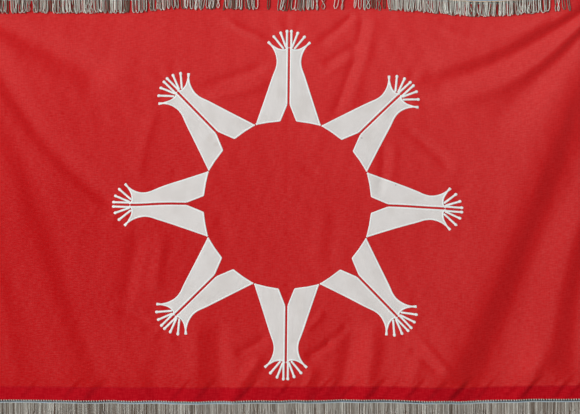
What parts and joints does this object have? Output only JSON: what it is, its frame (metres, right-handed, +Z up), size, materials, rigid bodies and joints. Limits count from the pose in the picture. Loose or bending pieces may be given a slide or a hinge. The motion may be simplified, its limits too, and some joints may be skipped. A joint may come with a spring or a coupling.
{
  "type": "fringed ceremonial flag",
  "caption": "Hanging rectangular cloth flag with turned hems, an appliqued ring of split rays round a plain disc, and looped yarn fringe along its top and bottom edges.",
  "frame": {"origin": "middle of the flag's top edge, where the fringe folds over, at the middle of the cloth's thickness", "axes": "+X along the top edge to the viewer's right, +Y from the front of the cloth to its back, +Z up"},
  "size_m": [1.829, 0.0356, 1.2848],
  "materials": {
    "red_cloth": "matt red plain-weave cotton, faint slubs, slightly faded and creased",
    "white_applique": "off-white twill with brighter satin-stitched edges, lightly soiled",
    "blue_grey_heading": "blue-grey woven gimp, overcast to the hem with pale stitches, soiled where it rolls over",
    "silver_fringe": "tarnished silver-grey twisted yarn, slightly frayed"
  },
  "bodies": {
    "root": {"cloth": "red_cloth", "ray_1_left": "white_applique", "ray_1_right": "white_applique", "ray_2_left": "white_applique", "ray_2_right": "white_applique", "ray_3_left": "white_applique", "ray_3_right": "white_applique", "ray_4_left": "white_applique", "ray_4_right": "white_applique", "ray_5_left": "white_applique", "ray_5_right": "white_applique", "ray_6_left": "white_applique", "ray_6_right": "white_applique", "ray_7_left": "white_applique", "ray_7_right": "white_applique", "ray_8_left": "white_applique", "ray_8_right": "white_applique", "top_heading": "blue_grey_heading", "bottom_heading": "blue_grey_heading", "top_fringe": "silver_fringe", "bottom_fringe": "silver_fringe"}
  },
  "joints": []
}
